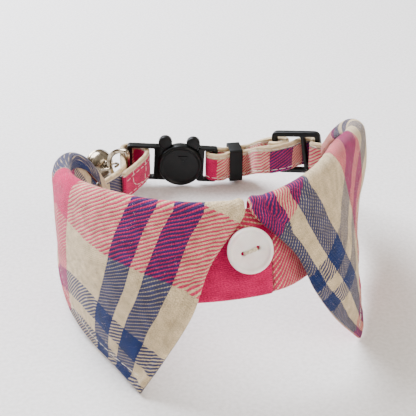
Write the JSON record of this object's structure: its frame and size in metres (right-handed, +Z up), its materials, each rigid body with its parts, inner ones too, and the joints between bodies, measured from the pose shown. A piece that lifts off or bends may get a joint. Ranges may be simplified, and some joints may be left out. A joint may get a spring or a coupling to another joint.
{
  "type": "pet shirt collar",
  "caption": "Buttoned plaid shirt collar for a pet, on a neck band closed behind by a cloth strap with a breakaway buckle, keeper, slider and bell.",
  "frame": {"origin": "centre of the collar's box, on the surface that it rests on", "axes": "+Z up; the button faces -Y and the buckle is at +Y, so +X is the collar's right as seen from the button side"},
  "size_m": [0.0928, 0.1254, 0.0495],
  "materials": {
    "leaf_plaid": "brushed cotton twill, plaid",
    "band_plaid": "brushed cotton twill, the plaid's pink part",
    "strap_plaid": "brushed cotton twill, folded and topstitched in white",
    "button_white": "moulded polyester, pearly white",
    "sewing_thread": "spun cotton thread",
    "black_plastic": "moulded acetal, semi-gloss",
    "nickel": "nickel-plated steel, bright"
  },
  "bodies": {
    "root": {"neck_band": "band_plaid", "left_leaf": "leaf_plaid", "right_leaf": "leaf_plaid", "left_strap": "strap_plaid", "right_strap": "strap_plaid", "button": "button_white", "button_thread": "sewing_thread", "buckle_head": "black_plastic", "buckle_plug": "black_plastic", "keeper": "black_plastic", "slider": "black_plastic", "d_ring": "nickel", "jump_ring": "nickel", "bell": "nickel"}
  },
  "joints": []
}
